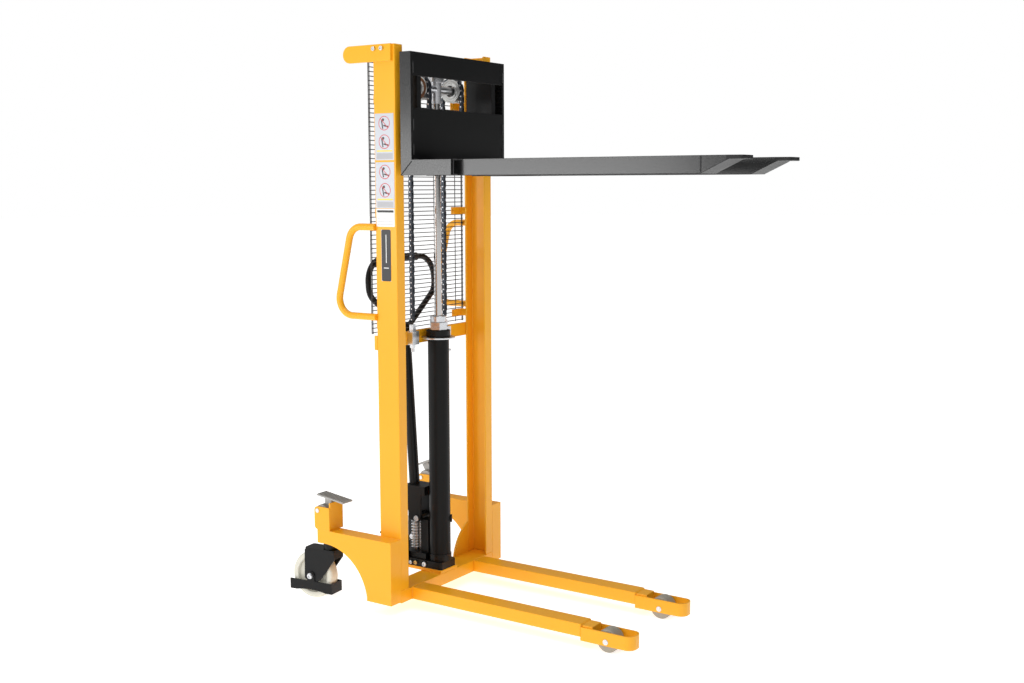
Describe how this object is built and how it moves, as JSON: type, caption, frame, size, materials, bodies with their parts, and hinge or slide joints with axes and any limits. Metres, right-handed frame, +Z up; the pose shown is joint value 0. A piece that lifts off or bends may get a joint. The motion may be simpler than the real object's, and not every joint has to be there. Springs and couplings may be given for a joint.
{
  "type": "hand pump walkie stacker",
  "caption": "Hand-pumped walkie stacker: straddle legs, channel mast, chain lift with fork carriage, pump tiller and braked swivel casters.",
  "frame": {"origin": "on the floor, below the middle of the truck", "axes": "+X towards the fork tips, +Y to the left of the operator who stands behind the mast, +Z up"},
  "size_m": [1.7662, 0.7222, 2.04],
  "materials": {
    "yellow_paint": "semi-gloss powder coat",
    "black_paint": "satin powder coat",
    "zinc_plate": "zinc plated",
    "machined_steel": "turned and oiled",
    "chain_steel": "oiled, blackened",
    "chrome_rod": "hard chrome",
    "nylon": "moulded",
    "roller_plastic": "turned",
    "cast_grey": "cast, ribbed",
    "grip_rubber": "matt",
    "label_film": "laminated film"
  },
  "bodies": {
    "frame": {"mast_channel_right": "yellow_paint", "mast_channel_left": "yellow_paint", "crossbeam": "yellow_paint", "side_frame_right": "yellow_paint", "side_frame_left": "yellow_paint", "leg_right": "yellow_paint", "leg_left": "yellow_paint", "roller_housings": "yellow_paint", "swivel_bearings": "zinc_plate", "brake_housings": "yellow_paint", "top_crossbar": "yellow_paint", "mid_crossbar": "yellow_paint", "top_lugs": "yellow_paint", "wire_guard": "black_paint", "guard_brackets": "yellow_paint", "push_handles": "yellow_paint", "cylinder_barrel": "black_paint", "cylinder_collar": "black_paint", "gland_nut": "zinc_plate", "cylinder_ring": "zinc_plate", "chain_rear_runs": "chain_steel", "chain_anchors": "zinc_plate", "pump_plate": "yellow_paint", "pump_block": "black_paint", "pivot_pins": "zinc_plate", "frame_bolts": "zinc_plate", "mast_labels": "label_film"},
    "ram": {"piston_rod": "chrome_rod", "crosshead": "zinc_plate", "pulley_axle": "zinc_plate", "chain_wraps": "chain_steel"},
    "pulleys": {"pulleys": "machined_steel"},
    "carriage": {"carriage_bar_right": "black_paint", "carriage_bar_left": "black_paint", "carriage_plates": "black_paint", "carriage_back_frame": "black_paint", "chain_front_runs": "chain_steel", "fork_right": "black_paint", "fork_left": "black_paint"},
    "guide_rollers_upper": {"guide_rollers_upper": "machined_steel"},
    "guide_rollers_lower": {"guide_rollers_lower": "machined_steel"},
    "plunger": {"pump_plunger": "machined_steel", "pump_spring": "zinc_plate"},
    "tiller": {"tiller": "black_paint", "tiller_grip": "grip_rubber"},
    "release_lever": {"release_lever": "black_paint"},
    "foot_lever": {"foot_lever": "black_paint"},
    "swivel_right": {"caster_fork_right": "black_paint", "wheel_guard_right": "black_paint", "wheel_axle_right": "zinc_plate"},
    "wheel_right": {"caster_wheel_right": "nylon"},
    "load_roller_right": {"load_roller_right": "roller_plastic"},
    "brake_pedal_right": {"brake_pedal_right": "cast_grey"},
    "swivel_left": {"caster_fork_left": "black_paint", "wheel_guard_left": "black_paint", "wheel_axle_left": "zinc_plate"},
    "wheel_left": {"caster_wheel_left": "nylon"},
    "load_roller_left": {"load_roller_left": "roller_plastic"},
    "brake_pedal_left": {"brake_pedal_left": "cast_grey"}
  },
  "joints": [
    {"name": "ram_lift", "type": "slide", "parent": "frame", "child": "ram", "axis": [0, 0, 1], "range_m": [-0.775, 0], "deforming": ["chain_rear_runs"]},
    {"name": "carriage_lift", "type": "slide", "parent": "ram", "child": "carriage", "axis": [0, 0, 1], "range_m": [-0.775, 0], "deforming": ["chain_front_runs"]},
    {"name": "pulley_spin", "type": "hinge", "parent": "ram", "child": "pulleys", "pos_m": [-0.43094, 0, 1.901], "axis": [0, 1, 0], "continuous": true},
    {"name": "upper_roller_spin", "type": "hinge", "parent": "carriage", "child": "guide_rollers_upper", "pos_m": [-0.43644, 0, 1.96], "axis": [0, 1, 0], "continuous": true},
    {"name": "lower_roller_spin", "type": "hinge", "parent": "carriage", "child": "guide_rollers_lower", "pos_m": [-0.43644, 0, 1.7], "axis": [0, 1, 0], "continuous": true},
    {"name": "tiller_pump", "type": "hinge", "parent": "frame", "child": "tiller", "pos_m": [-0.51394, 0, 0.281], "axis": [0, -1, 0], "range_deg": [0, 55]},
    {"name": "plunger_stroke", "type": "slide", "parent": "frame", "child": "plunger", "axis": [0, 0, 1], "range_m": [-0.029, 0], "deforming": ["pump_spring"]},
    {"name": "release_squeeze", "type": "hinge", "parent": "tiller", "child": "release_lever", "pos_m": [-0.60471, -0.15, 1.25817], "axis": [0.9981, 0, 0.061], "range_deg": [0, 7]},
    {"name": "foot_lever_press", "type": "hinge", "parent": "frame", "child": "foot_lever", "pos_m": [-0.55894, -0.054, 0.128], "axis": [0, -1, 0], "range_deg": [0, 12]},
    {"name": "swivel_right_turn", "type": "hinge", "parent": "frame", "child": "swivel_right", "pos_m": [-0.71394, -0.31, 0.197], "axis": [0, 0, 1], "continuous": true},
    {"name": "wheel_right_spin", "type": "hinge", "parent": "swivel_right", "child": "wheel_right", "pos_m": [-0.78451, -0.31779, 0.09], "axis": [-0.1097, 0.994, 0], "continuous": true},
    {"name": "load_roller_right_spin", "type": "hinge", "parent": "frame", "child": "load_roller_right", "pos_m": [0.42606, -0.1965, 0.04], "axis": [0, 1, 0], "continuous": true},
    {"name": "brake_pedal_right_press", "type": "hinge", "parent": "frame", "child": "brake_pedal_right", "pos_m": [-0.73594, -0.3155, 0.35], "axis": [0, 1, 0], "range_deg": [-30, 0]},
    {"name": "swivel_left_turn", "type": "hinge", "parent": "frame", "child": "swivel_left", "pos_m": [-0.71394, 0.31, 0.197], "axis": [0, 0, 1], "continuous": true},
    {"name": "wheel_left_spin", "type": "hinge", "parent": "swivel_left", "child": "wheel_left", "pos_m": [-0.78451, 0.31779, 0.09], "axis": [0.1097, 0.994, 0], "continuous": true},
    {"name": "load_roller_left_spin", "type": "hinge", "parent": "frame", "child": "load_roller_left", "pos_m": [0.42606, 0.1965, 0.04], "axis": [0, 1, 0], "continuous": true},
    {"name": "brake_pedal_left_press", "type": "hinge", "parent": "frame", "child": "brake_pedal_left", "pos_m": [-0.73594, 0.3155, 0.35], "axis": [0, 1, 0], "range_deg": [0, 30]}
  ],
  "couplings": [
    {"joint": "carriage_lift", "follows": "ram_lift", "ratio": 1},
    {"joint": "pulley_spin", "follows": "ram_lift", "rad_per_m": -22.727},
    {"joint": "upper_roller_spin", "follows": "ram_lift", "rad_per_m": 51.282},
    {"joint": "lower_roller_spin", "follows": "ram_lift", "rad_per_m": -51.282},
    {"joint": "plunger_stroke", "follows": "tiller_pump", "m_per_rad": -0.029}
  ]
}
